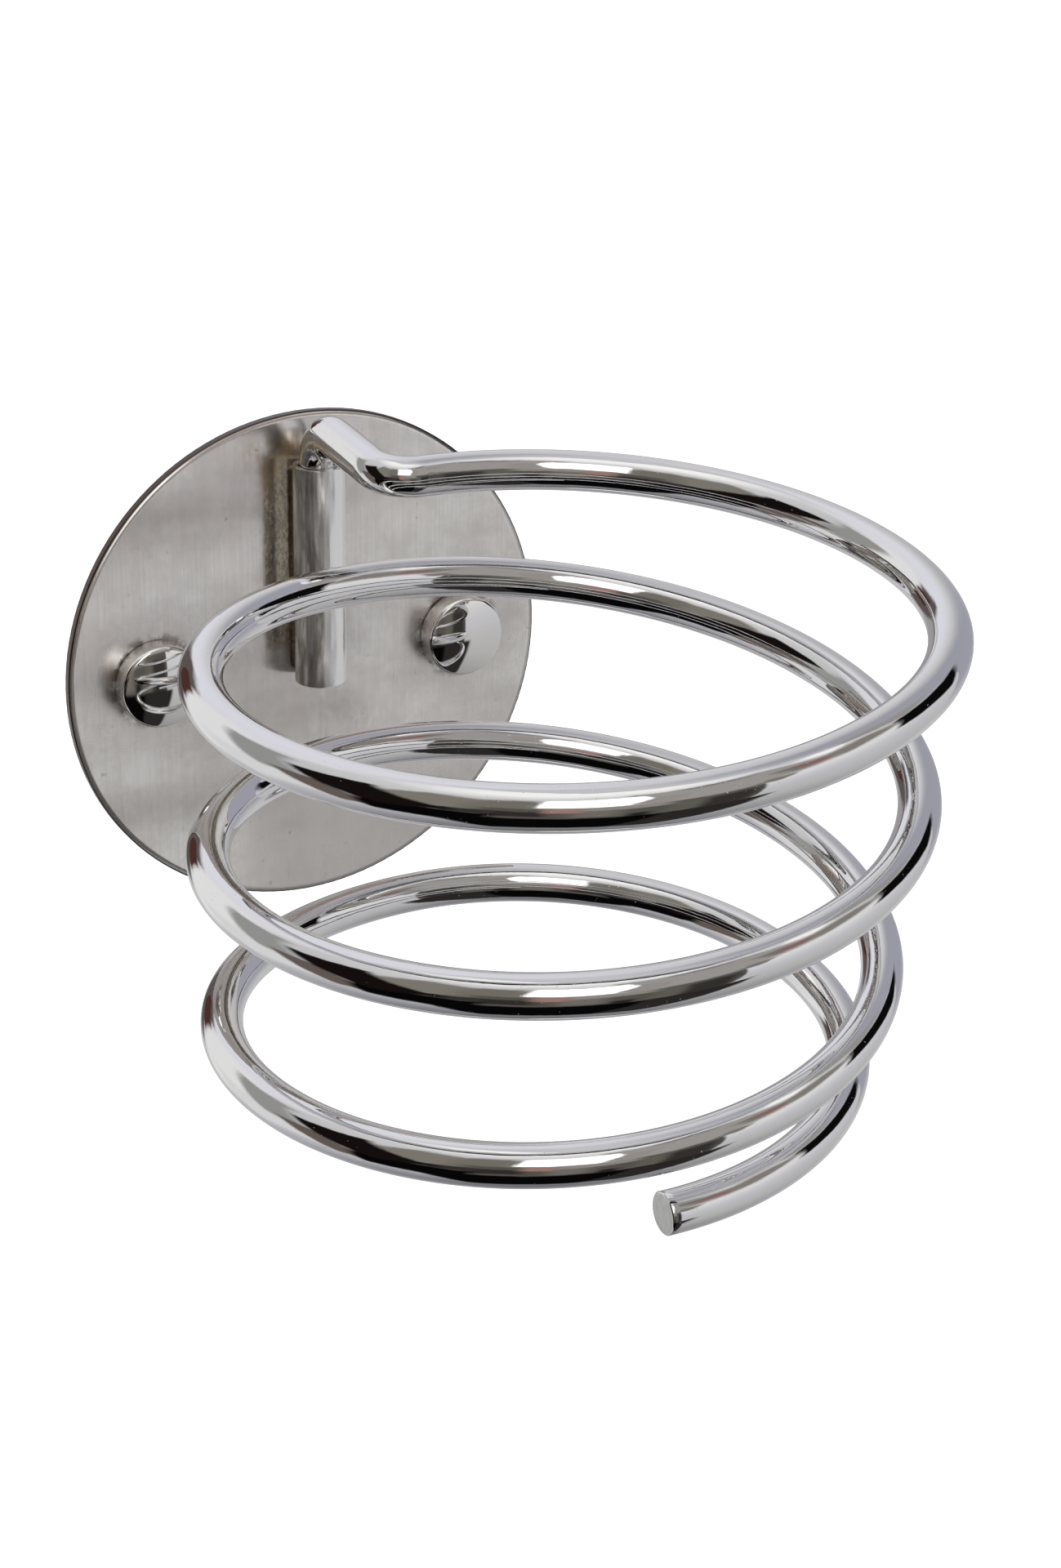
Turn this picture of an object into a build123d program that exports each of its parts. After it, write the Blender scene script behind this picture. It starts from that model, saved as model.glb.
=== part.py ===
from build123d import *
import os
from math import asin, cos, pi, radians, sin, sqrt, tan

# A wall-mounted hair dryer holder: a coil of round rod that hangs by its pin in a tube on a round wall plate.
# Millimetres, +Z up. The origin is the centre of the plate's back face, which lies on the wall (the plane y = 0).
# The object stands out from the wall along -Y, and the coil leaves the arm towards +X, clockwise seen from above.

# Wall plate
PLATE_DIA = 80.0
PLATE_THICK = 1.5
PLATE_EDGE_ROUND = 0.2
SCREW_SPACING = 52.0
SCREW_HEIGHT = 0.5
HOLE_DIA = 5.0
SINK_DIA = 7.0

# Upright tube, welded to the plate's face
TUBE_DIA = 8.0
TUBE_BORE = 6.2
TUBE_TOP = 32.8
TUBE_BOTTOM = -2.3
TUBE_EDGE = 0.25
TUBE_Y = -(PLATE_THICK + TUBE_DIA / 2)
WELD_ROOT = 0.9
WELD_FOOT = 3.1
WELD_HOLLOW = 0.35
WELD_END_GAP = 1.0

# Rod: a pin that stands in the tube, then the arm, then the coil
ROD_DIA = 6.0
PIN_END = TUBE_BOTTOM + 1.5
ROD_SPLIT = TUBE_TOP - 1.0
PIN_CHAMFER = 0.5
BEND_RADIUS = 5.5
ARM_Z = 38.9
ARM_LENGTH = 23.9
ARM_DROOP = 5.5
CORNER_RADIUS = 5.4
COIL_X = 4.65
COIL_RADIUS = 48.95
COIL_OVAL = 0.0225
COIL_TAPER = 0.484
COIL_FLARE = 64.0
FLARE_START = 3.35
COIL_PITCH = 26.75
DROP_START = 0.32
DROP_START_WIDTH = 0.18
DROP_END = 2.865
DROP_END_WIDTH = 0.15
COIL_TURNS = 3.52
COIL_STEPS = 20
ARC_SHARE = 0.9

# Screws and their caps
SHANK_DIA = 4.0
NECK_DIA = 3.6
NECK_REACH = 0.6
SCREW_REACH = 18.0
SCREW_TIP = 4.0
SCREW_POINT_DIA = 0.4
HEAD_DIA = 8.0
HEAD_RIM = 0.4
TAP_DIA = 2.5
TAP_DEPTH = 4.2
SLOT_WIDTH = 1.0
SLOT_DEPTH = 0.8
WASHER_DIA = 12.6
WASHER_BORE = 8.6
WASHER_THICK = 0.3
CAP_DIA = 13.2
CAP_SIDE = 3.3
CAP_CROWN = 0.4
CAP_EDGE_ROUND = 0.6
CAP_HOLLOW_DIA = 9.4
CAP_HOLLOW_DEPTH = 1.3
STUD_DIA = 2.4
STUD_LENGTH = 3.2
FIT_GAP = 0.02

FRONT = -PLATE_THICK
SIDES = (("left", -1), ("right", 1))


def outwards(x, y, z):
    """A plane square to the wall's normal, whose own z axis points away from the wall."""
    return Plane((x, y, z), x_dir=(1, 0, 0), z_dir=(0, -1, 0))


def screw_place(side, y=0.0):
    return outwards(side * SCREW_SPACING / 2, y, SCREW_HEIGHT)


def disc(diameter, low, high):
    """A disc about the z axis from one height to another."""
    return Pos(0, 0, low) * Cylinder(diameter / 2, high - low, align=(Align.CENTER, Align.CENTER, Align.MIN))


def wall_plate():
    """Round sheet with two countersunk screw holes on its middle line."""
    plate = disc(PLATE_DIA, 0, PLATE_THICK)
    plate = fillet(plate.edges().filter_by(GeomType.CIRCLE), PLATE_EDGE_ROUND)
    sink_depth = (SINK_DIA - HOLE_DIA) / 2
    for _, side in SIDES:
        place = Pos(side * SCREW_SPACING / 2, SCREW_HEIGHT, 0)
        plate -= place * disc(HOLE_DIA, -1, PLATE_THICK + 1)
        sink = Cone(HOLE_DIA / 2, SINK_DIA / 2, sink_depth, align=(Align.CENTER, Align.CENTER, Align.MAX))
        plate -= place * Pos(0, 0, PLATE_THICK) * sink
    return outwards(0, 0, 0) * plate


def socket_tube():
    """Upright tube, open at both ends, that the pin turns in."""
    tube = disc(TUBE_DIA, TUBE_BOTTOM, TUBE_TOP) - disc(TUBE_BORE, TUBE_BOTTOM - 1, TUBE_TOP + 1)
    tube = fillet(tube.edges().filter_by(GeomType.CIRCLE), TUBE_EDGE)
    return Pos(0, TUBE_Y, 0) * tube


def weld_bead(side):
    """Fillet weld in the corner between the tube's side and the plate, with a hollow face."""
    tube_radius = TUBE_DIA / 2
    angle = asin(WELD_FOOT / tube_radius)
    on_tube = (WELD_FOOT, TUBE_Y + tube_radius * cos(angle))
    foot = (WELD_FOOT + WELD_HOLLOW, FRONT)
    middle = ((on_tube[0] + foot[0]) / 2 - WELD_HOLLOW, (on_tube[1] + foot[1]) / 2)
    root = (WELD_ROOT, FRONT)
    root_top = (WELD_ROOT, TUBE_Y)
    tube_inside = (WELD_FOOT, TUBE_Y)
    outline = Line(foot, root)
    outline += Line(root, root_top)
    outline += Line(root_top, tube_inside)
    outline += Line(tube_inside, on_tube)
    outline += ThreePointArc(on_tube, middle, foot)
    low = TUBE_BOTTOM + WELD_END_GAP
    length = TUBE_TOP - TUBE_BOTTOM - 2 * WELD_END_GAP
    bead = Pos(0, 0, low) * extrude(make_face(outline), length)
    bead -= Pos(0, TUBE_Y, 0) * disc(TUBE_DIA, TUBE_BOTTOM - 1, TUBE_TOP + 1)
    return bead if side > 0 else mirror(bead, Plane.YZ)


def eased(turns, start, width):
    """Turns run since the start, when the rate comes in smoothly over the width."""
    share = (turns - start) / width
    if share <= 0:
        return 0.0
    if share >= 1:
        return width * (share - 0.5)
    return width * (share**3 - share**4 / 2)


def coil_radius(turns):
    """The coil tapers on its way down, and its free end springs out a little."""
    flare = max(0.0, turns - FLARE_START)
    return COIL_RADIUS - COIL_TAPER * turns**2 + COIL_FLARE * flare**2


def coil_point(turns, stretch=1.0):
    """The coil's centreline at a number of turns from its rear, with +Z along its own axis."""
    radius = coil_radius(turns) * stretch
    angle = 2 * pi * turns
    x = COIL_X + radius * (1 + COIL_OVAL) * sin(angle)
    y = -ARM_LENGTH - COIL_RADIUS * (1 - COIL_OVAL) + radius * (1 - COIL_OVAL) * cos(angle)
    fallen = eased(turns, DROP_START, DROP_START_WIDTH) - eased(turns, DROP_END, DROP_END_WIDTH)
    return Vector(x, y, -COIL_PITCH * fallen)


def rod_corners():
    """Corners of the polygon that the rod's centreline is rounded from."""
    corners = [Vector(0, -ARM_LENGTH, 0)]
    for step in range(round(COIL_TURNS * COIL_STEPS)):
        corners.append(coil_point((step + 0.5) / COIL_STEPS, 1 / cos(pi / COIL_STEPS)))
    corners.append(coil_point(COIL_TURNS))
    shoulder = Vector(0, TUBE_Y, ARM_Z)
    drooped = [corner.rotate(Axis.X, ARM_DROOP) + shoulder for corner in corners]
    return [Vector(0, TUBE_Y, ROD_SPLIT), shoulder] + drooped


def rod_radii(corners):
    """The two hand bends, then one arc for each corner of the coil."""
    radii = [BEND_RADIUS, CORNER_RADIUS]
    for step in range(round(COIL_TURNS * COIL_STEPS)):
        before, corner, after = corners[step + 2 : step + 5]
        half_turn = radians((corner - before).get_angle(after - corner)) / 2
        reach = coil_radius(step / COIL_STEPS) * tan(pi / COIL_STEPS) * ARC_SHARE
        radii.append(reach / tan(half_turn))
    return radii


def spiral_rod():
    """Arm and coil, one bent rod that ends in a flat sawn face."""
    corners = rod_corners()
    path = FilletPolyline(*corners, radius=rod_radii(corners))
    section = Plane(corners[0], z_dir=(0, 0, 1)) * Circle(ROD_DIA / 2)
    return sweep(section, path)


def pivot_pin():
    """Lower part of the rod, which stands in the tube and turns there."""
    pin = disc(ROD_DIA, PIN_END, ROD_SPLIT)
    pin = chamfer(pin.edges().filter_by(GeomType.CIRCLE).sort_by(Axis.Z)[0], PIN_CHAMFER)
    return Pos(0, TUBE_Y, 0) * pin


def mirror_screw():
    """Countersunk screw with a slim neck, whose head is tapped to take a cap, drawn with its head up."""
    cone_drop = (HEAD_DIA - NECK_DIA) / 2
    sink_gap = FIT_GAP * sqrt(2)
    top = PLATE_THICK + (HEAD_DIA - SINK_DIA) / 2 + sink_gap + HEAD_RIM
    rim_low = top - HEAD_RIM
    screw = disc(HEAD_DIA, rim_low, top)
    head = Cone(NECK_DIA / 2, HEAD_DIA / 2, cone_drop, align=(Align.CENTER, Align.CENTER, Align.MAX))
    screw += Pos(0, 0, rim_low) * head
    screw += disc(NECK_DIA, -NECK_REACH, rim_low - cone_drop)
    screw += disc(SHANK_DIA, SCREW_TIP - SCREW_REACH, -NECK_REACH)
    point = Cone(SCREW_POINT_DIA / 2, SHANK_DIA / 2, SCREW_TIP, align=(Align.CENTER, Align.CENTER, Align.MAX))
    screw += Pos(0, 0, SCREW_TIP - SCREW_REACH) * point
    screw -= disc(TAP_DIA, top - TAP_DEPTH, top + 1)
    screw -= Pos(0, 0, top) * Box(HEAD_DIA + 1, SLOT_WIDTH, SLOT_DEPTH * 2)
    return screw


def cap_washer():
    """Thin ring between the cap and the plate."""
    return disc(WASHER_DIA, 0, WASHER_THICK) - disc(WASHER_BORE, -1, WASHER_THICK + 1)


def screw_cap():
    """Low domed cap, hollow underneath to clear the screw's head, with a stud into it."""
    side = Rectangle(CAP_DIA / 2, CAP_SIDE, align=(Align.MIN, Align.MIN))
    cap_height = CAP_SIDE + CAP_CROWN
    dome_radius = ((CAP_DIA / 2) ** 2 + CAP_CROWN**2) / (2 * CAP_CROWN)
    dome = Pos(0, cap_height - dome_radius) * Circle(dome_radius)
    over = Pos(0, CAP_SIDE) * Rectangle(CAP_DIA / 2, CAP_CROWN, align=(Align.MIN, Align.MIN))
    half = side + (over & dome)
    rim = half.vertices().group_by(Axis.X)[-1].sort_by(Axis.Y)[-1]
    cap = revolve(Plane.XZ * fillet(rim, CAP_EDGE_ROUND), Axis.Z)
    cap -= disc(CAP_HOLLOW_DIA, -1, CAP_HOLLOW_DEPTH)
    return cap + disc(STUD_DIA, CAP_HOLLOW_DEPTH - STUD_LENGTH, CAP_HOLLOW_DEPTH)


def assembly():
    nodes = {
        "wall_plate": wall_plate(),
        "socket_tube": socket_tube(),
        "pivot_pin": pivot_pin(),
        "spiral_rod": spiral_rod(),
    }
    for name, side in SIDES:
        nodes["weld_bead_" + name] = weld_bead(side)
        nodes["screw_" + name] = screw_place(side) * mirror_screw()
        nodes["cap_washer_" + name] = screw_place(side, FRONT) * cap_washer()
        nodes["screw_cap_" + name] = screw_place(side, FRONT - WASHER_THICK) * screw_cap()
    return nodes


os.makedirs("parts", exist_ok=True)
for node, solid in assembly().items():
    export_step(solid, "parts/" + node + ".step")
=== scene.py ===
import bmesh
import bpy
from math import atan2, cos, pi, radians, sin, sqrt, tan
from mathutils import Matrix, Vector


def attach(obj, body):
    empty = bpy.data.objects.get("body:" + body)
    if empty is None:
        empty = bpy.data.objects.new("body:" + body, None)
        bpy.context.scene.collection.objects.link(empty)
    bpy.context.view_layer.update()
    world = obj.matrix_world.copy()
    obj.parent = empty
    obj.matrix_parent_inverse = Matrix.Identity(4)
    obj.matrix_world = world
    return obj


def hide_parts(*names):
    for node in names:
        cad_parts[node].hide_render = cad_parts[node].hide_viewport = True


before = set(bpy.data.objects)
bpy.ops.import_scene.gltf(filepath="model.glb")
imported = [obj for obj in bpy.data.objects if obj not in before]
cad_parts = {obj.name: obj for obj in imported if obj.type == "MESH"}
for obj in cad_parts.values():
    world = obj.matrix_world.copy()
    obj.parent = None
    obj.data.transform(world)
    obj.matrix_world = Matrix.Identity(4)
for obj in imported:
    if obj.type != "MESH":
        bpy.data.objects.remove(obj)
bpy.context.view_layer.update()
scene = bpy.context.scene
MM = 0.001

# ---------------------------------------------------------------- sizes, in millimetres, as the CAD has them
TUBE_Y = -5.5
TUBE_TOP, TUBE_BOTTOM, TUBE_R, BORE_R = 32.8, -2.3, 4.0, 3.1
ROD_R = 3.0
ROD_SPLIT = 31.8
ARM_Z, ARM_LENGTH, ARM_DROOP = 38.9, 23.9, radians(5.5)
BEND_RADIUS, CORNER_RADIUS = 5.5, 5.4
COIL_X, COIL_RADIUS, COIL_OVAL, COIL_TAPER = 4.65, 48.95, 0.0225, 0.484
COIL_FLARE, FLARE_START = 64.0, 3.35
COIL_PITCH, COIL_TURNS = 26.75, 3.52
DROP_START, DROP_START_WIDTH, DROP_END, DROP_END_WIDTH = 0.32, 0.18, 2.865, 0.15
PLATE_R, PLATE_FRONT = 40.0, -1.5
SCREW_X, SCREW_Z = 26.0, 0.5
SCREW_LENGTH, SCREW_TIP = 18.0, 4.0
SCREW_TOP, SCREW_HEAD_R, SCREW_NECK_R = 2.428, 4.0, 1.8
TAP_R, TAP_FLOOR = 1.25, -1.77
WASHER_THICK = 0.3
CAP_R, CAP_SIDE, CAP_CROWN, CAP_EDGE = 6.6, 3.3, 0.4, 0.6
FLOOR_HALF, FLOOR_Z = 6000.0, -300.0

# ---------------------------------------------------------------- camera, in metres and radians
EYE = (-0.170144, -0.377339, 0.154218)
YAW, PITCH, ROLL = 0.5105, 0.4026, 0.0214
LENS = 63.857


# ---------------------------------------------------------------- mesh helpers
def new_mesh(name, verts, faces, uvs=None, slots=None):
    """A smooth mesh object in metres from points in millimetres; uvs and slots follow the faces."""
    mesh = bpy.data.meshes.new(name)
    mesh.from_pydata([Vector(v) * MM for v in verts], [], faces)
    if uvs:
        layer = mesh.uv_layers.new(name="along")
        for poly, corners in zip(mesh.polygons, uvs):
            for loop, uv in zip(poly.loop_indices, corners):
                layer.data[loop].uv = uv
    for poly in mesh.polygons:
        poly.use_smooth = True
        if slots:
            poly.material_index = slots[poly.index]
    mesh.update()
    piece = bpy.data.objects.new(name, mesh)
    scene.collection.objects.link(piece)
    return piece


def bridged(rings, count):
    """The quads that join each ring of vertices to the next."""
    faces = []
    for i in range(rings - 1):
        for k in range(count):
            j = (k + 1) % count
            faces.append((i * count + k, i * count + j, (i + 1) * count + j, (i + 1) * count + k))
    return faces


def unrolled(lengths, count):
    """The same quads laid flat: u goes once round the ring, v is the length along in millimetres."""
    uvs = []
    for start, end in zip(lengths, lengths[1:]):
        for k in range(count):
            u0, u1 = k / count, (k + 1) / count
            uvs.append(((u0, start), (u1, start), (u1, end), (u0, end)))
    return uvs


def turned(ring, place):
    """Vertices of one ring: its (radius, height) pairs spread evenly about a local z axis."""
    verts = []
    for k, (radius, height) in enumerate(ring):
        a = 2 * pi * k / len(ring)
        verts.append(place @ Vector((radius * cos(a), radius * sin(a), height)))
    return verts


def lathe(name, profile, count, place):
    """Turns a (radius, height) profile about a local z axis, then puts it in place."""
    verts = []
    run = [0.0]
    for point in profile:
        verts += turned([point] * count, place)
    for (r0, h0), (r1, h1) in zip(profile, profile[1:]):
        run.append(run[-1] + sqrt((r1 - r0) ** 2 + (h1 - h0) ** 2))
    return new_mesh(name, verts, bridged(len(profile), count), unrolled(run, count))


def arc_points(cx, cy, radius, a0, a1, steps):
    """Points of an arc from angle a0 to angle a1, in degrees."""
    angles = [radians(a0 + (a1 - a0) * k / steps) for k in range(steps + 1)]
    return [(cx + radius * cos(a), cy + radius * sin(a)) for a in angles]


def weld_doubles(piece, distance=1e-6):
    """Joins vertices that lie together and turns every face outwards."""
    bm = bmesh.new()
    bm.from_mesh(piece.data)
    bmesh.ops.remove_doubles(bm, verts=bm.verts, dist=distance)
    bmesh.ops.recalc_face_normals(bm, faces=bm.faces)
    bm.to_mesh(piece.data)
    bm.free()


def outwards(side, y):
    """Puts a piece on the left or right screw's axis at depth y, its local z pointing away from the wall."""
    x, z = (SCREW_X if side == "right" else -SCREW_X), SCREW_Z
    return Matrix(((1, 0, 0, x), (0, 0, -1, y), (0, 1, 0, z), (0, 0, 0, 1)))


def directions(points):
    """The unit direction of a line at each of its points."""
    ends = zip(points[:1] + points[:-1], points[1:] + points[-1:])
    return [(b - a).normalized() for a, b in ends]


def sweep(name, points, radius, count, end_rings, end_back):
    """A round bar along points, whose last ring stands end_back short of the line's end.

    end_rings are (radius, advance) pairs that finish it from there. The bar and its rounded edge take the
    first material, and its two flat ends the second."""
    rounded_rings = 3
    tangents = directions(points)
    side, length = Vector((1, 0, 0)), 0.0
    rings, lengths = [], []
    for i, (point, tangent) in enumerate(zip(points, tangents)):
        if i:
            side = tangents[i - 1].rotation_difference(tangent) @ side
            length += (point - points[i - 1]).length
        side = (side - tangent * side.dot(tangent)).normalized()
        rings.append((point, radius, side.copy(), tangent.cross(side)))
        lengths.append(length)
    up = rings[-1][3]
    end = points[-1] - tangents[-1] * end_back
    rings[-1] = (end, radius, side, up)
    lengths[-1] -= end_back
    for r, advance in end_rings:
        rings.append((end + tangents[-1] * advance, r, side, up))
        lengths.append(length + advance + (radius - r))
    angles = [2 * pi * k / count for k in range(count)]
    verts = [centre + (s * cos(a) + u * sin(a)) * r for centre, r, s, u in rings for a in angles]
    last = (len(rings) - 1) * count
    faces = bridged(len(rings), count) + [tuple(range(last, last + count)), tuple(reversed(range(count)))]
    disc = tuple((0.5 + 0.5 * cos(a), 0.5 + 0.5 * sin(a)) for a in angles)
    uvs = unrolled(lengths, count) + [disc, ((0.5, 0.5),) * count]
    slots = [0 if i < len(points) + rounded_rings else 1 for i in range(len(rings) - 1) for _ in range(count)]
    return new_mesh(name, verts, faces, uvs, slots + [1, 1])


# ---------------------------------------------------------------- the rod's centreline
def eased(turns, start, width):
    """Turns run since the middle of a soft start of the given width."""
    share = (turns - start) / width
    if share <= 0:
        return 0.0
    if share >= 1:
        return width * (share - 0.5)
    return width * (share**3 - share**4 / 2)


def drooped(x, y, z):
    """A point of the level arm and coil, leaned down about the shoulder."""
    c, s = cos(ARM_DROOP), sin(ARM_DROOP)
    return Vector((x, y * c - z * s + TUBE_Y, y * s + z * c + ARM_Z))


def coil_point(turns):
    """The coil narrows going down, springs outwards near its end, and starts and ends level."""
    radius = COIL_RADIUS - COIL_TAPER * turns**2 + COIL_FLARE * max(0.0, turns - FLARE_START) ** 2
    a = 2 * pi * turns
    x = COIL_X + radius * (1 + COIL_OVAL) * sin(a)
    y = -ARM_LENGTH - COIL_RADIUS * (1 - COIL_OVAL) + radius * (1 - COIL_OVAL) * cos(a)
    fallen = eased(turns, DROP_START, DROP_START_WIDTH) - eased(turns, DROP_END, DROP_END_WIDTH)
    return drooped(x, y, -COIL_PITCH * fallen)


def rounded(before, corner, after, radius, steps):
    """Points of the arc that rounds a corner."""
    a, b = (before - corner).normalized(), (after - corner).normalized()
    half = a.angle(b) / 2
    reach = radius / tan(half)
    centre = corner + (a + b).normalized() * (radius / sin(half))
    p, q = corner + a * reach - centre, corner + b * reach - centre
    axis, turn = p.cross(q).normalized(), p.angle(q)
    return [centre + Matrix.Rotation(turn * k / steps, 3, axis) @ p for k in range(steps + 1)]


def spaced(a, b, step):
    """Points strictly between two ends."""
    n = max(1, round((b - a).length / step))
    return [a.lerp(b, k / n) for k in range(1, n)]


def rod_line():
    """From the split in the tube's mouth over the bend, the arm and the corner to the coil's free end."""
    foot, shoulder = Vector((0, TUBE_Y, ROD_SPLIT)), Vector((0, TUBE_Y, ARM_Z))
    corner, start = drooped(0, -ARM_LENGTH, 0), drooped(COIL_X, -ARM_LENGTH, 0)
    bend = rounded(foot, shoulder, corner, BEND_RADIUS, 24)
    turn = rounded(shoulder, corner, start + (start - corner) * 2, CORNER_RADIUS, 24)
    line = [foot] + spaced(foot, bend[0], 1.0) + bend + spaced(bend[-1], turn[0], 1.2) + turn
    steps = 240  # to a turn
    first = 0
    while coil_point(first / steps).x < turn[-1].x + 0.6:
        first += 1
    return line + [coil_point(k / steps) for k in range(first, round(COIL_TURNS * steps) + 1)]


# ---------------------------------------------------------------- material helpers
def lin(*srgb):
    """A colour as displayed, made linear."""
    return tuple(c / 12.92 if c <= 0.04045 else ((c + 0.055) / 1.055) ** 2.4 for c in srgb) + (1.0,)


class Nodes:
    """Short names for building a node tree."""

    def __init__(self, tree):
        self.tree = tree
        tree.nodes.clear()

    def add(self, kind, **values):
        node = self.tree.nodes.new(kind)
        for key, value in values.items():
            setattr(node, key, value)
        return node

    def put(self, socket, value):
        if isinstance(value, bpy.types.NodeSocket):
            self.tree.links.new(value, socket)
        else:
            socket.default_value = value

    def math(self, op, *values):
        node = self.add("ShaderNodeMath", operation=op)
        for socket, value in zip(node.inputs, values):
            self.put(socket, value)
        return node.outputs[0]

    def ease(self, value, low, high, first=0.0, last=1.0):
        node = self.add("ShaderNodeMapRange", interpolation_type="SMOOTHSTEP")
        for socket, v in zip(node.inputs, (value, low, high, first, last)):
            self.put(socket, v)
        return node.outputs[0]

    def mix(self, share, a, b):
        node = self.add("ShaderNodeMix", data_type="RGBA")
        self.put(node.inputs[0], share)
        self.put(node.inputs[6], a)
        self.put(node.inputs[7], b)
        return node.outputs[2]

    def noise(self, vector, scale, detail=2.0, rough=0.5, distortion=0.0):
        node = self.add("ShaderNodeTexNoise")
        self.put(node.inputs["Vector"], vector)
        node.inputs["Scale"].default_value = scale
        node.inputs["Detail"].default_value = detail
        node.inputs["Roughness"].default_value = rough
        node.inputs["Distortion"].default_value = distortion
        return node.outputs["Fac"]

    def stretch(self, vector, x, y, z):
        node = self.add("ShaderNodeMapping")
        self.put(node.inputs["Vector"], vector)
        node.inputs["Scale"].default_value = (x, y, z)
        return node.outputs[0]

    def bump(self, height, strength, distance, normal=None):
        node = self.add("ShaderNodeBump")
        node.inputs["Strength"].default_value = strength
        node.inputs["Distance"].default_value = distance
        self.put(node.inputs["Height"], height)
        if normal:
            self.put(node.inputs["Normal"], normal)
        return node.outputs[0]

    def split(self, vector):
        node = self.add("ShaderNodeSeparateXYZ")
        self.put(node.inputs[0], vector)
        return node.outputs

    def combine(self, x, y, z):
        node = self.add("ShaderNodeCombineXYZ")
        for socket, value in zip(node.inputs, (x, y, z)):
            self.put(socket, value)
        return node.outputs[0]

    def vector(self, op, *values):
        node = self.add("ShaderNodeVectorMath", operation=op)
        for socket, value in zip(node.inputs, values):
            self.put(socket, value)
        return node.outputs[0]

    def scaled(self, vector, factor):
        node = self.add("ShaderNodeVectorMath", operation="SCALE")
        self.put(node.inputs[0], vector)
        self.put(node.inputs["Scale"], factor)
        return node.outputs[0]

    def leaned(self, *amounts):
        """The surface's own normal with each amount added."""
        normal = self.add("ShaderNodeNewGeometry").outputs["Normal"]
        for amount in amounts:
            normal = self.vector("ADD", normal, amount)
        return self.vector("NORMALIZE", normal)

    def times(self, first, *others):
        for other in others:
            first = self.math("MULTIPLY", first, other)
        return first

    def reach(self, a, b):
        """The distance that two offsets at right angles make."""
        return self.math("SQRT", self.math("ADD", self.times(a, a), self.times(b, b)))

    def band(self, value, rise, fall):
        """One between the two soft edges, nought outside them."""
        return self.times(self.ease(value, *rise), self.ease(value, *fall, 1.0, 0.0))

    def ramp(self, value, stops):
        node = self.add("ShaderNodeValToRGB")
        self.put(node.inputs[0], value)
        bar = node.color_ramp
        while len(bar.elements) > 1:
            bar.elements.remove(bar.elements[-1])
        bar.elements[0].position, bar.elements[0].color = stops[0][0], stops[0][1]
        for position, colour in stops[1:]:
            bar.elements.new(position).color = colour
        return node.outputs[0]


def material(name, metallic):
    """A new material, its nodes, its shader and the object coordinates."""
    mat = bpy.data.materials.new(name)
    mat.use_nodes = True
    n = Nodes(mat.node_tree)
    shader = n.add("ShaderNodeBsdfPrincipled")
    shader.inputs["Metallic"].default_value = metallic
    shader.inputs["IOR"].default_value = 1.5
    n.put(n.add("ShaderNodeOutputMaterial").inputs[0], shader.outputs[0])
    where = n.add("ShaderNodeTexCoord").outputs["Object"]
    return mat, n, shader, where


def chrome_rod():
    """Bright polished rod: faint lengthwise waviness and a few pinholes in the plating."""
    mat, n, shader, where = material("rod_chrome", 1.0)
    along = n.add("ShaderNodeUVMap", uv_map="along").outputs[0]
    slow = n.noise(n.stretch(along, 5.0, 0.09, 1.0), 1.0, 2.0)
    fine = n.noise(n.stretch(along, 16.0, 0.35, 1.0), 1.0, 2.0)
    patchy = n.ease(n.noise(where, 90.0, 2.0), 0.48, 0.66)
    pits = n.times(n.ease(n.noise(where, 2600.0, 1.0), 0.74, 0.80), patchy)
    normal = n.bump(slow, 0.35, 0.00012)
    normal = n.bump(fine, 0.25, 0.00004, normal)
    normal = n.bump(pits, 0.5, -0.00006, normal)
    tint = n.mix(n.noise(where, 60.0, 2.0), lin(0.935, 0.935, 0.945), lin(0.96, 0.957, 0.955))
    n.put(shader.inputs["Base Color"], tint)
    n.put(shader.inputs["Roughness"], n.ease(n.noise(where, 45.0, 3.0), 0.35, 0.75, 0.008, 0.035))
    n.put(shader.inputs["Normal"], normal)
    return mat


def sawn_end():
    """Dull cut face with fine saw lines."""
    mat, n, shader, where = material("sawn_end", 1.0)
    lines = n.noise(n.stretch(where, 6000.0, 900.0, 700.0), 1.0, 3.0)
    blotch = n.noise(where, 900.0, 3.0)
    n.put(shader.inputs["Base Color"], n.mix(blotch, lin(0.74, 0.74, 0.74), lin(0.88, 0.88, 0.87)))
    n.put(shader.inputs["Roughness"], n.ease(blotch, 0.3, 0.7, 0.34, 0.52))
    n.put(shader.inputs["Normal"], n.bump(lines, 0.35, 0.00003))
    return mat


def cap_chrome():
    """Mirror chrome, faintly wavy, whose front shades as a fuller dome than its low crown."""
    fullness = 45.0
    mat, n, shader, where = material("cap_chrome", 1.0)
    x, _, z = n.split(where)
    tint = n.mix(n.noise(where, 120.0, 2.0), lin(0.94, 0.935, 0.93), lin(0.97, 0.965, 0.96))
    n.put(shader.inputs["Base Color"], tint)
    n.put(shader.inputs["Roughness"], n.ease(n.noise(where, 300.0, 3.0), 0.4, 0.75, 0.02, 0.06))
    middle = n.times(n.math("SIGN", x), SCREW_X * MM)
    crown = n.combine(n.times(n.math("SUBTRACT", x, middle), fullness), 0.0,
                      n.times(n.math("SUBTRACT", z, SCREW_Z * MM), fullness))
    waves = n.noise(where, 190.0, 1.0)
    n.put(shader.inputs["Normal"], n.bump(waves, 0.30, 0.00014, n.leaned(crown)))
    return mat


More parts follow.
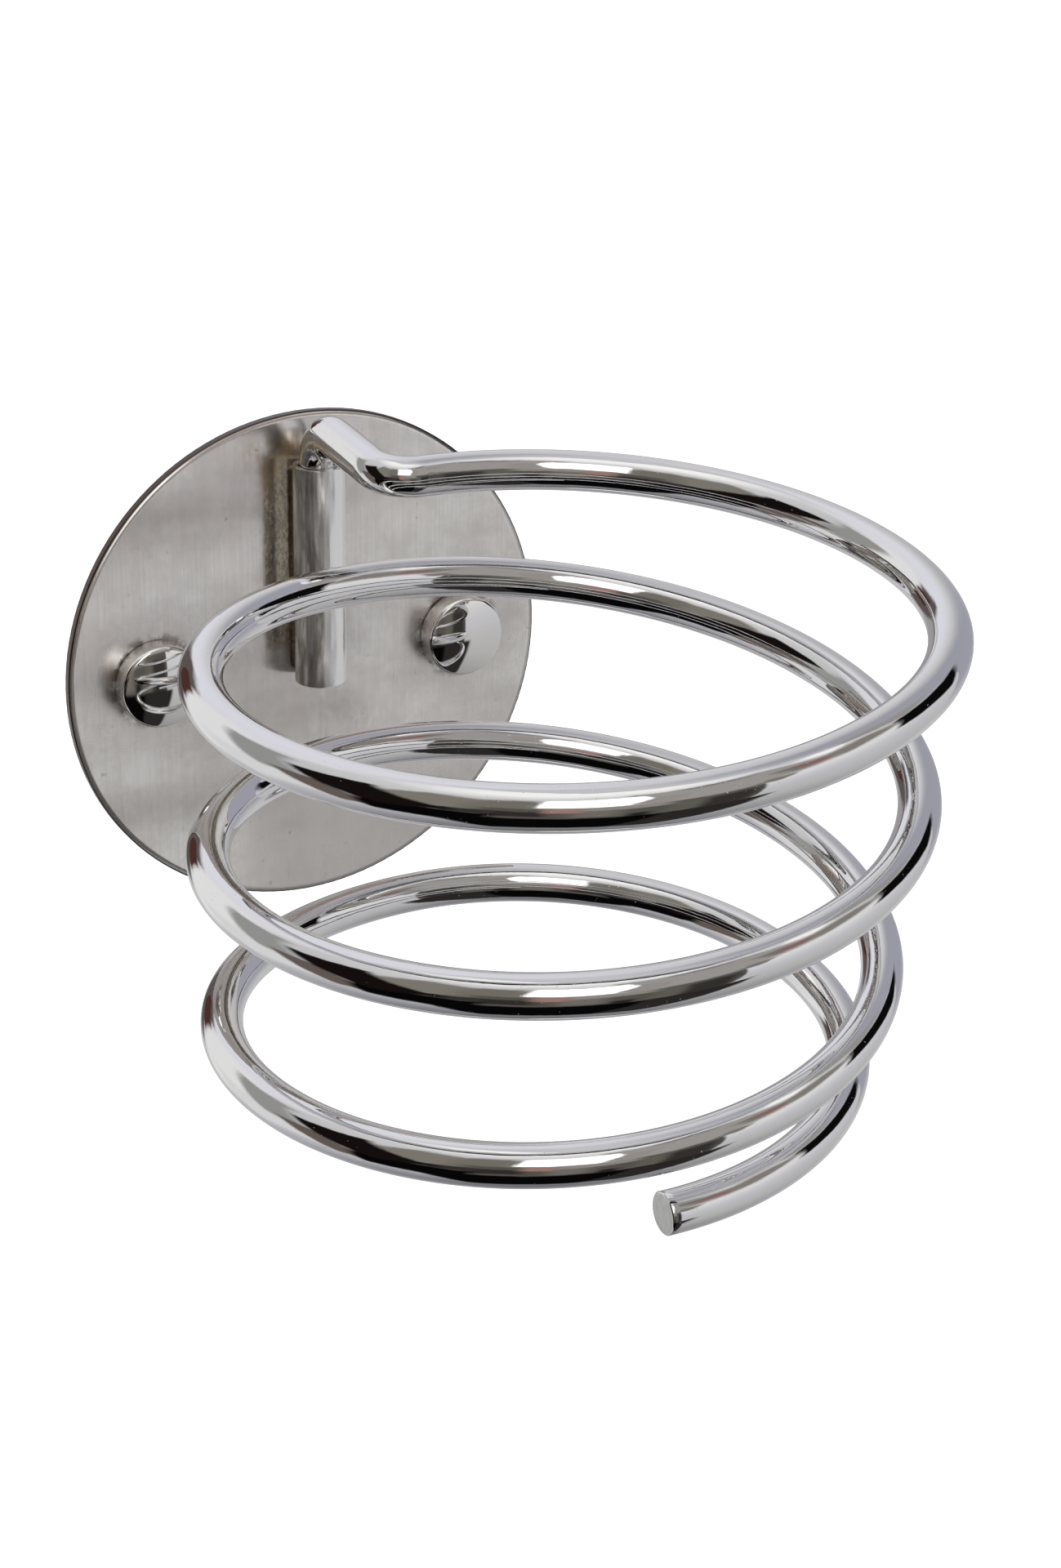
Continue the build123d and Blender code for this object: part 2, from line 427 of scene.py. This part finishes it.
def tube_steel():
    """Dull-polished tube with lengthwise wear and a brown tinge on its left; its right side is painted
    near-white, a painted sheen, so the left reads as painted shade.
    """
    mat, n, shader, where = material("tube_steel", 0.74)
    streaks = n.noise(n.stretch(where, 2200.0, 2200.0, 60.0), 1.0, 3.0)
    smudge = n.noise(n.stretch(where, 420.0, 420.0, 90.0), 1.0, 4.0, 0.65)
    x = n.split(where)[0]
    worn = n.mix(n.ease(smudge, 0.36, 0.60), lin(0.92, 0.905, 0.885), lin(0.60, 0.57, 0.54))
    worn = n.mix(n.times(n.ease(streaks, 0.35, 0.65), 0.4), worn, lin(0.52, 0.51, 0.50))
    # painted sheen and shade: the right half near-white, the left half keeps the darker wear colours
    base = n.mix(n.ease(x, -0.0014, -0.0008), worn, lin(0.99, 0.985, 0.98))
    n.put(shader.inputs["Base Color"], base)
    n.put(shader.inputs["Roughness"], n.ease(smudge, 0.35, 0.7, 0.15, 0.23))
    normal = n.bump(smudge, 0.30, 0.00018)
    n.put(shader.inputs["Normal"], n.bump(streaks, 0.35, 0.00003, normal))
    return mat


def satin(n, where, x, z, cloud, smear, grain):
    """The sheet's colour: clouds, smears, grain and a mottle, and darker towards the foot of the plate."""
    mottle = n.noise(where, 330.0, 5.0, 0.7)
    low = n.times(n.ease(z, -0.0300, -0.0140, 1.0, 0.0), n.ease(x, -0.0160, -0.0040))
    base = n.mix(n.ease(cloud, 0.35, 0.68), lin(0.985, 0.975, 0.96), lin(0.93, 0.905, 0.885))
    base = n.mix(n.times(n.ease(smear, 0.50, 0.70), 0.45), base, lin(0.86, 0.845, 0.825))
    base = n.mix(n.times(n.ease(grain, 0.3, 0.7), 0.28), base, lin(0.84, 0.83, 0.815))
    base = n.mix(n.times(n.ease(mottle, 0.35, 0.7), 0.35), base, lin(0.82, 0.805, 0.79))
    return n.mix(n.times(low, 0.75), base, lin(0.80, 0.785, 0.77))


def tube_reflection_and_heat_tint(n, where, x, z, front, base):
    """A painted reflection of the tube, an upright dark mottled band on its left, and the straw heat tint
    above; also where the metal is made less metallic to lighten part of that painted reflection.
    """
    left = n.times(x, -1.0)
    # painted reflection of the tube: an upright band on the plate's front to the tube's left
    tube_reflection = n.band(left, (0.0022, 0.0032), (0.0071, 0.0079))
    tube_reflection = n.times(tube_reflection, n.band(z, (0.0015, 0.0035), (0.031, 0.036)), front)
    mottle = n.ease(n.noise(n.stretch(where, 2400.0, 2400.0, 1300.0), 1.0, 4.0, 0.75), 0.40, 0.66)
    reflection_tone = n.mix(mottle, lin(0.60, 0.57, 0.52), lin(0.95, 0.90, 0.80))
    base = n.mix(n.times(tube_reflection, 0.8), base, reflection_tone)
    # less metallic in the band's part nearest the tube, which lightens that part of the painted reflection
    reflection_lift = n.times(n.band(left, (0.0029, 0.0038), (0.0049, 0.0062)), n.ease(z, 0.002, 0.012), tube_reflection)
    off_middle = n.math("ABSOLUTE", n.math("ADD", x, 0.0055))
    top = n.times(n.ease(off_middle, 0.001, 0.0075, 1.0, 0.0), n.band(z, (0.024, 0.033), (0.034, 0.0385)))
    blotch = n.ease(n.noise(n.stretch(where, 300.0, 300.0, 170.0), 1.0, 4.0, 0.65), 0.40, 0.62)
    return n.mix(n.times(top, blotch, front), base, lin(0.80, 0.72, 0.60)), reflection_lift


def to_cap(n, x, z):
    """Distance to the nearer screw's axis."""
    up = n.math("SUBTRACT", z, SCREW_Z * MM)
    left, right = (n.reach(n.math("SUBTRACT", x, middle), up) for middle in (-SCREW_X * MM, SCREW_X * MM))
    return n.math("MINIMUM", left, right)


def plate_steel():
    """Satin sheet: fine upright grain, cloudy smudges, a straw heat tint, a painted reflection of the tube
    and a painted shadow ring round each cap on its front, and a dark cut edge.
    """
    mat, n, shader, where = material("plate_steel", 0.88)
    x, y, z = n.split(where)
    grain = n.noise(n.stretch(where, 3600.0, 300.0, 60.0), 1.0, 3.0, 0.6)
    cloud = n.noise(where, 55.0, 4.0, 0.55, 0.4)
    smear = n.noise(n.stretch(where, 22.0, 40.0, 75.0), 1.0, 5.0, 0.6)
    speck = n.ease(n.noise(where, 620.0, 3.0, 0.6), 0.66, 0.76)
    front = n.ease(y, -0.0010, -0.0006, 1.0, 0.0)
    away, near_cap = n.reach(x, z), to_cap(n, x, z)
    # the sheet's colour with the painted reflection of the tube and the straw heat tint added
    base, reflection_lift = tube_reflection_and_heat_tint(n, where, x, z, front, satin(n, where, x, z, cloud, smear, grain))
    # painted shadow: a dark ring on the plate's front round each cap, broken up by noise
    cap_shadow_breakup = n.ease(n.noise(where, 520.0, 4.0, 0.65), 0.42, 0.60)
    cap_shadow = n.times(n.ease(near_cap, (CAP_R + 0.1) * MM, (CAP_R + 1.7) * MM, 1.0, 0.0), cap_shadow_breakup, front)
    base = n.mix(n.times(cap_shadow, 0.7), base, lin(0.46, 0.41, 0.35))
    base = n.mix(n.times(speck, 0.35), base, lin(0.45, 0.43, 0.41))
    rim = n.ease(away, (PLATE_R - 0.30) * MM, (PLATE_R - 0.18) * MM)
    base = n.mix(n.times(rim, 0.95), base, lin(0.24, 0.16, 0.13))
    n.put(shader.inputs["Base Color"], base)
    # metallic drops where the painted reflection of the tube is lightened
    n.put(shader.inputs["Metallic"], n.ease(reflection_lift, 0.0, 1.0, 0.88, 0.35))
    wiped = n.ease(smear, 0.3, 0.72, 0.17, 0.25)
    unwiped = n.ease(near_cap, CAP_R * MM, (CAP_R + 8.4) * MM, 0.13, 0.0)
    n.put(shader.inputs["Roughness"], n.math("ADD", wiped, unwiped))
    roll = n.ease(away, (PLATE_R - 1.1) * MM, (PLATE_R - 0.2) * MM)
    rolled_edge = n.scaled(n.vector("NORMALIZE", where), roll)
    dish = n.combine(n.math("MULTIPLY_ADD", x, -1.3, 0.10), 0.0,
                     n.math("ADD", n.math("MULTIPLY_ADD", z, 0.4, 0.04), n.times(x, -1.2)))
    normal = n.bump(cloud, 0.16, 0.0009, n.leaned(dish, rolled_edge))
    n.put(shader.inputs["Normal"], n.bump(grain, 0.08, 0.00003, normal))
    return mat


def weld_metal():
    """Grey bead with a straw and a bluish heat tint."""
    mat, n, shader, where = material("weld_metal", 1.0)
    blotch = n.noise(where, 700.0, 4.0, 0.6)
    grey, straw, blue = lin(0.55, 0.52, 0.48), lin(0.66, 0.60, 0.52), lin(0.50, 0.47, 0.50)
    n.put(shader.inputs["Base Color"], n.ramp(blotch, [(0.3, grey), (0.5, straw), (0.7, blue)]))
    n.put(shader.inputs["Roughness"], n.ease(blotch, 0.3, 0.7, 0.28, 0.45))
    n.put(shader.inputs["Normal"], n.bump(blotch, 0.3, 0.00008))
    return mat


def screw_steel():
    """Plain zinc-plated steel."""
    mat, n, shader, where = material("screw_steel", 1.0)
    blotch = n.noise(where, 500.0, 4.0, 0.6)
    n.put(shader.inputs["Base Color"], n.mix(blotch, lin(0.70, 0.70, 0.72), lin(0.82, 0.80, 0.74)))
    n.put(shader.inputs["Roughness"], n.ease(blotch, 0.3, 0.7, 0.22, 0.40))
    n.put(shader.inputs["Normal"], n.bump(n.noise(where, 2500.0, 2.0), 0.15, 0.00002))
    return mat


def washer_plastic():
    """Dark brown moulded plastic."""
    mat, n, shader, where = material("washer_plastic", 0.0)
    blotch = n.noise(where, 800.0, 3.0)
    n.put(shader.inputs["Base Color"], n.mix(blotch, lin(0.16, 0.13, 0.11), lin(0.25, 0.21, 0.18)))
    n.put(shader.inputs["Roughness"], n.ease(blotch, 0.3, 0.7, 0.45, 0.6))
    n.put(shader.inputs["Normal"], n.bump(blotch, 0.2, 0.00005))
    return mat


def floor_white():
    """Pale matt floor that glows a little, so that it stays white."""
    mat, n, shader, where = material("floor_white", 0.0)
    tone = n.mix(n.noise(where, 3.0, 3.0), lin(0.955, 0.955, 0.955), lin(0.965, 0.965, 0.965))
    n.put(shader.inputs["Base Color"], tone)
    shader.inputs["Roughness"].default_value = 0.9
    shader.inputs["Specular IOR Level"].default_value = 0.0
    shader.inputs["Emission Color"].default_value = (1, 1, 1, 1)
    shader.inputs["Emission Strength"].default_value = 0.75
    return mat


# ---------------------------------------------------------------- pieces
def make_rod(chrome, end):
    """The arm and coil in one piece, with a slightly rounded sawn end."""
    cut = 0.16
    rounding = [(ROD_R - 0.04, 0.05), (ROD_R - 0.12, 0.11), (ROD_R - 0.2, 0.15), (ROD_R - 0.22, 0.155)]
    rod = sweep("bent_rod", rod_line(), ROD_R, 40, rounding + [(ROD_R / 2, cut)], cut)
    rod.data.materials.append(chrome)
    rod.data.materials.append(end)
    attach(rod, "spiral")
    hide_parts("spiral_rod")


def make_tube(steel):
    """Open tube with rounded rims."""
    e = 0.25  # the rims' rounding
    hold = 0.04  # keeps the straight walls' shading flat
    profile = [(BORE_R, TUBE_BOTTOM + e), (BORE_R, TUBE_BOTTOM + e + hold), (BORE_R, TUBE_TOP - e - hold)]
    profile += arc_points(BORE_R + e, TUBE_TOP - e, e, 180, 90, 5)
    profile += arc_points(TUBE_R - e, TUBE_TOP - e, e, 90, 0, 5)
    profile += [(TUBE_R, TUBE_TOP - e - hold), (TUBE_R, TUBE_BOTTOM + e + hold)]
    profile += arc_points(TUBE_R - e, TUBE_BOTTOM + e, e, 0, -90, 5)
    profile += arc_points(BORE_R + e, TUBE_BOTTOM + e, e, -90, -180, 5)
    tube = lathe("tube_body", profile, 72, Matrix.Translation((0, TUBE_Y, 0)))
    weld_doubles(tube)
    tube.data.materials.append(steel)
    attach(tube, "wall_bracket")
    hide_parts("socket_tube")


def make_cap(side, chrome):
    """Domed cap with a straight side, a hollow underside and its stud."""
    stud, stud_end, hollow, roof, axis = 1.2, -1.9, 4.7, 1.3, 0.0005
    sphere = (CAP_R * CAP_R + CAP_CROWN * CAP_CROWN) / (2 * CAP_CROWN)
    centre = CAP_SIDE + CAP_CROWN - sphere
    fillet_x = CAP_R - CAP_EDGE
    fillet_y = centre + sqrt((sphere - CAP_EDGE) ** 2 - fillet_x**2)
    meet = atan2(fillet_y - centre, fillet_x) * 180 / pi
    profile = [(axis, stud_end), (stud - 0.2, stud_end), (stud, stud_end + 0.2), (stud, roof - 0.05),
               (stud + 0.05, roof), (hollow - 0.05, roof), (hollow, roof), (hollow, 0.0), (CAP_R - 0.12, 0.0),
               (CAP_R - 0.03, 0.03), (CAP_R, 0.12), (CAP_R, 0.2), (CAP_R, fillet_y - 0.08)]
    profile += arc_points(fillet_x, fillet_y, CAP_EDGE, 0, meet, 10)
    front = arc_points(0, centre, sphere, meet, 90, 16)[1:]
    profile += [(max(axis, x), y) for x, y in front]
    cap = lathe("mirror_cap_" + side, profile, 96, outwards(side, PLATE_FRONT - WASHER_THICK))
    weld_doubles(cap)
    cap.data.materials.append(chrome)
    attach(cap, "wall_bracket")
    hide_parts("screw_cap_" + side)


def thread_ring(z, count):
    """One ring of the thread, whose crest winds round as z goes down and fades at the neck and the point."""
    pitch, root, crest, half_width = 1.5, 1.45, 0.53, 0.28
    taper = min(1.0, (SCREW_LENGTH - abs(z)) / SCREW_TIP)
    fade = min(1.0, (abs(z) - 0.7) / 1.2)
    ring = []
    for k in range(count):
        phase = (z / pitch - k / count) % 1.0
        height = max(0.0, 1.0 - abs(phase - 0.5) / half_width)
        ring.append(((root + crest * height * fade) * taper, z))
    return ring


def make_screw(side, steel):
    """Countersunk screw with a tapped head, a slim neck and a helical thread down to its point."""
    count, step, axis = 40, 1.5 / 14, 0.02
    head = [(axis, TAP_FLOOR), (TAP_R, TAP_FLOOR), (TAP_R, 2.40), (TAP_R + 0.03, SCREW_TOP),
            (SCREW_HEAD_R - 0.1, SCREW_TOP), (SCREW_HEAD_R, 2.38), (SCREW_HEAD_R, 2.028),
            (SCREW_HEAD_R - 0.03, 2.0), (SCREW_NECK_R + 0.03, -0.15), (SCREW_NECK_R, -0.2),
            (SCREW_NECK_R, -0.55), (1.5, -0.7)]
    rings = [[point] * count for point in head]
    z = -0.75
    while z > 0.1 - SCREW_LENGTH:
        rings.append(thread_ring(z, count))
        z -= step
    rings.append([(axis, -SCREW_LENGTH)] * count)
    place = outwards(side, 0.0)
    verts = [v for ring in rings for v in turned(ring, place)]
    screw = new_mesh("threaded_screw_" + side, verts, bridged(len(rings), count))
    weld_doubles(screw, 0.00003)
    screw.data.materials.append(steel)
    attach(screw, "wall_bracket")
    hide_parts("screw_" + side)


def weld_section(z, from_end, sign, across):
    """A bead's cross-section at height z: a rippled, hollow face and two hidden corners."""
    root_x, root_y, spread, hollow = 3.1, -2.97, 0.33, 0.38
    middle_x, middle_y = 2.35, PLATE_FRONT - 0.25
    end = min(1.0, from_end / 1.3)
    full = 0.30 + 0.70 * sqrt(max(0.0, 1 - (1 - end) ** 2))
    wander = 0.05 * sin(z * 1.7 + sign) + 0.03 * sin(z * 3.9)
    points = []
    for k in range(across + 1):
        t = k / across
        ripple = 0.05 * sin(2 * pi * (z + 0.55 * cos(pi * (t - 0.5))) / 0.95) * sin(pi * t)
        x = root_x + spread * t - hollow * sin(pi * t) + ripple + wander * t
        y = root_y + (PLATE_FRONT - root_y) * t
        y = middle_y + (y - middle_y) * full if k < across else PLATE_FRONT
        points.append(Vector((sign * (middle_x + (x - middle_x) * full), y, z)))
    return points + [Vector((sign * 1.0, PLATE_FRONT, z)), Vector((sign * 1.6, TUBE_Y + 3.6, z))]


def make_weld(side, metal):
    """Rippled bead in the corner between the tube and the plate, rounded off at both ends."""
    sign = 1 if side == "right" else -1
    low, high, steps, across = TUBE_BOTTOM + 1.0, TUBE_TOP - 1.0, 170, 9
    verts = []
    for i in range(steps + 1):
        z = low + (high - low) * i / steps
        verts += weld_section(z, min(z - low, high - z), sign, across)
    n = across + 3
    ends = [tuple(range(n)), tuple(reversed(range(steps * n, steps * n + n)))]
    bead = new_mesh("rippled_weld_" + side, verts, bridged(steps + 1, n) + ends)
    weld_doubles(bead)
    bead.data.materials.append(metal)
    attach(bead, "wall_bracket")
    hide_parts("weld_bead_" + side)


def make_floor():
    """A wide flat floor well below the holder, which the chrome doesn't mirror."""
    h = FLOOR_HALF
    corners = [(-h, -h, FLOOR_Z), (h, -h, FLOOR_Z), (h, h, FLOOR_Z), (-h, h, FLOOR_Z)]
    floor = new_mesh("floor", corners, [(0, 1, 2, 3)])
    floor.data.materials.append(floor_white())
    floor.visible_glossy = False


# ---------------------------------------------------------------- studio light
def studio():
    """Soft studio surroundings by direction: azimuth from straight out of the wall, and height, in degrees.

    The camera itself sees plain white."""
    world = bpy.data.worlds.new("studio")
    scene.world = world
    world.use_nodes = True
    n = Nodes(world.node_tree)
    x, y, z = n.split(n.add("ShaderNodeTexCoord").outputs["Generated"])
    az = n.times(n.math("ARCTAN2", x, n.times(y, -1.0)), 180 / pi)
    el = n.times(n.math("ARCSINE", z), 180 / pi)
    height = n.math("DIVIDE", n.math("ADD", el, 90.0), 180.0)

    def stops(*pairs):
        """Ramp stops from (height in degrees, grey, tint)."""
        return [((e + 90) / 180, lin(g * tr, g * tg, g * tb)) for e, g, (tr, tg, tb) in pairs]

    cool, plain, warm = (0.995, 0.995, 1.02), (1.0, 1.0, 1.0), (1.01, 1.0, 0.975)
    sky = n.ramp(height, stops((-90, 0.42, plain), (-70, 0.54, cool), (-57, 0.64, cool), (-45, 0.73, cool),
                               (-33, 0.77, plain), (0, 0.79, plain), (40, 0.78, plain), (62, 0.82, plain),
                               (72, 0.93, plain), (78, 0.99, warm), (90, 1.0, plain)))
    board = n.ramp(height, stops((-75, 0.50, plain), (-60, 0.60, plain), (-48, 0.66, plain),
                                 (-36, 0.715, plain), (-20, 0.745, plain), (0, 0.79, cool),
                                 (10, 0.83, plain), (20, 0.88, plain)))
    colour = [sky]

    def patch(at, half, turn, soft, tone):
        """Covers what is there with a soft-edged rectangle in degrees, turned about its middle."""
        c, s = cos(radians(turn)), sin(radians(turn))
        da, de = n.math("SUBTRACT", az, at[0]), n.math("SUBTRACT", el, at[1])
        u = n.math("ADD", n.times(da, c), n.times(de, s))
        v = n.math("ADD", n.times(da, -s), n.times(de, c))
        a = n.ease(n.math("ABSOLUTE", u), half[0] - soft[0], half[0] + soft[0], 1.0, 0.0)
        b = n.ease(n.math("ABSOLUTE", v), half[1] - soft[1], half[1] + soft[1], 1.0, 0.0)
        colour[0] = n.mix(n.times(a, b), colour[0], tone)

    # behind the wall's plane, and high up
    patch((128, 76), (56, 20), 0, (14, 4), lin(0.79, 0.79, 0.80))
    patch((112, 25), (22, 45), 0, (12, 12), lin(0.63, 0.63, 0.67))
    patch((180, 34), (30, 27), 0, (14, 6), lin(0.88, 0.88, 0.91))
    patch((-180, 34), (38, 27), 0, (10, 6), lin(0.88, 0.875, 0.895))
    patch((162, -6), (20, 14), 0, (8, 5), lin(0.62, 0.61, 0.62))
    patch((-150, 2), (19, 34), 0, (6, 7), lin(0.905, 0.905, 0.90))
    patch((-130, -22), (24, 15), 15, (8, 6), lin(0.86, 0.86, 0.86))
    patch((-127, 16), (25, 12.5), -55, (4, 4), lin(0.59, 0.59, 0.58))
    # grey shapes above the middle and on the left
    patch((24, 38), (32, 28), 0, (3, 2), lin(0.62, 0.605, 0.59))
    patch((29, 63), (14, 3), 0, (4, 2), lin(0.53, 0.51, 0.49))
    patch((42, 42), (7, 8), 0, (4, 4), lin(0.48, 0.46, 0.44))
    patch((-60, 30), (29, 23), -12, (5, 5), lin(0.50, 0.485, 0.45))
    patch((-49, 32), (9, 24), 0, (4, 6), lin(0.46, 0.445, 0.41))
    # the dark part straight ahead and low on the left
    patch((-13, -4), (39, 25), 0, (4, 4), lin(0.34, 0.33, 0.31))
    patch((-21, 0), (6, 20), 0, (4, 5), lin(0.45, 0.43, 0.41))
    patch((3, -6), (5, 22), 0, (3, 4), lin(0.38, 0.37, 0.34))
    patch((14, -8), (7, 20), 0, (3, 4), lin(0.21, 0.20, 0.19))
    patch((-9, -18), (3, 7), 0, (2, 3), lin(0.16, 0.15, 0.14))
    patch((-42, -4), (8, 11), 0, (3, 3), lin(0.20, 0.18, 0.17))
    patch((-14, 16), (12, 7), 0, (4, 3), lin(0.57, 0.55, 0.52))
    patch((-56, -1), (8, 9), 0, (3, 3), lin(0.22, 0.20, 0.19))
    patch((-32, -49), (38, 25), 0, (4, 3), lin(0.03, 0.03, 0.03))
    patch((-99, -15), (22, 11), -68, (3, 3), lin(0.40, 0.36, 0.34))
    patch((-70, -27), (20, 21), -10, (3, 4), lin(0.03, 0.028, 0.028))
    patch((-88, 13), (31, 15), -52, (3, 3), lin(0.085, 0.065, 0.06))
    # the pale board on the right, what stands before it, and a reddish spot on the left
    patch((62, -18), (38.5, 46), 0, (0.8, 5), board)
    patch((15, -48), (16, 25), 0, (2.5, 2), lin(0.17, 0.16, 0.155))
    patch((27, 24), (5, 6), -35, (2, 2), lin(0.50, 0.48, 0.46))
    patch((62, 38), (13, 9), 0, (4, 4), lin(0.52, 0.50, 0.475))
    patch((91, 46), (9, 11), 0, (3, 3), lin(0.60, 0.59, 0.57))
    patch((70, 55.5), (8, 4.5), 10, (2, 2), lin(0.99, 0.98, 0.96))
    patch((87, 19.5), (16, 12.5), -25, (2, 2), lin(0.045, 0.045, 0.045))
    patch((46, 41), (5, 5), -20, (2, 2), lin(0.56, 0.40, 0.40))
    patch((-30, 12), (5, 10), 0, (3, 4), lin(0.62, 0.49, 0.45))
    # the lamp, the only light brighter than white
    patch((-21, 41.5), (17, 16.5), 0, (1.5, 1.5), (1.5, 1.5, 1.48, 1.0))
    patch((-2.5, 36), (5.5, 14), -24, (1.2, 2), lin(0.60, 0.58, 0.56))
    # straight behind, across the seam of the azimuth
    behind = n.times(n.ease(n.math("ABSOLUTE", az), 169.0, 174.0),
                     n.ease(n.math("ABSOLUTE", el), 17.0, 24.0, 1.0, 0.0))
    colour[0] = n.mix(behind, colour[0], lin(0.36, 0.33, 0.32))
    patch((-176, 3), (8, 10), 0, (2, 2), lin(0.30, 0.19, 0.17))
    seen = n.add("ShaderNodeLightPath").outputs["Is Camera Ray"]
    colour[0] = n.mix(seen, colour[0], (1, 1, 1, 1))
    light = n.add("ShaderNodeBackground")
    n.put(light.inputs[0], colour[0])
    light.inputs[1].default_value = 1.0
    n.put(n.add("ShaderNodeOutputWorld").inputs[0], light.outputs[0])


def camera():
    """Looks from the left, a little above the holder."""
    data = bpy.data.cameras.new("camera")
    data.lens = LENS
    data.clip_start, data.clip_end = 0.01, 100
    eye = bpy.data.objects.new("camera", data)
    scene.collection.objects.link(eye)
    ahead = Vector((sin(YAW) * cos(PITCH), cos(YAW) * cos(PITCH), -sin(PITCH)))
    right = Vector((cos(YAW), -sin(YAW), 0))
    up = right.cross(ahead)
    across = right * cos(ROLL) + up * sin(ROLL)
    above = -right * sin(ROLL) + up * cos(ROLL)
    turn = Matrix((across, above, -ahead)).transposed()
    eye.matrix_world = Matrix.Translation(EYE) @ turn.to_4x4()
    scene.camera = eye


# ---------------------------------------------------------------- the scene
scene.view_settings.view_transform = "Standard"
camera()
studio()
make_floor()
chrome, mirror = chrome_rod(), cap_chrome()
make_rod(chrome, sawn_end())
make_tube(tube_steel())
weld, screw_finish = weld_metal(), screw_steel()
for side in ("left", "right"):
    make_cap(side, mirror)
    make_screw(side, screw_finish)
    make_weld(side, weld)
finishes = {"brushed_plate": plate_steel(), "polished_rod": chrome, "weld_metal": weld,
            "screw_steel": screw_finish, "dark_washer": washer_plastic()}
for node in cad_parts.values():
    for place in node.material_slots:
        name = place.material.name.split(".")[0]
        if name in finishes:
            place.material = finishes[name]
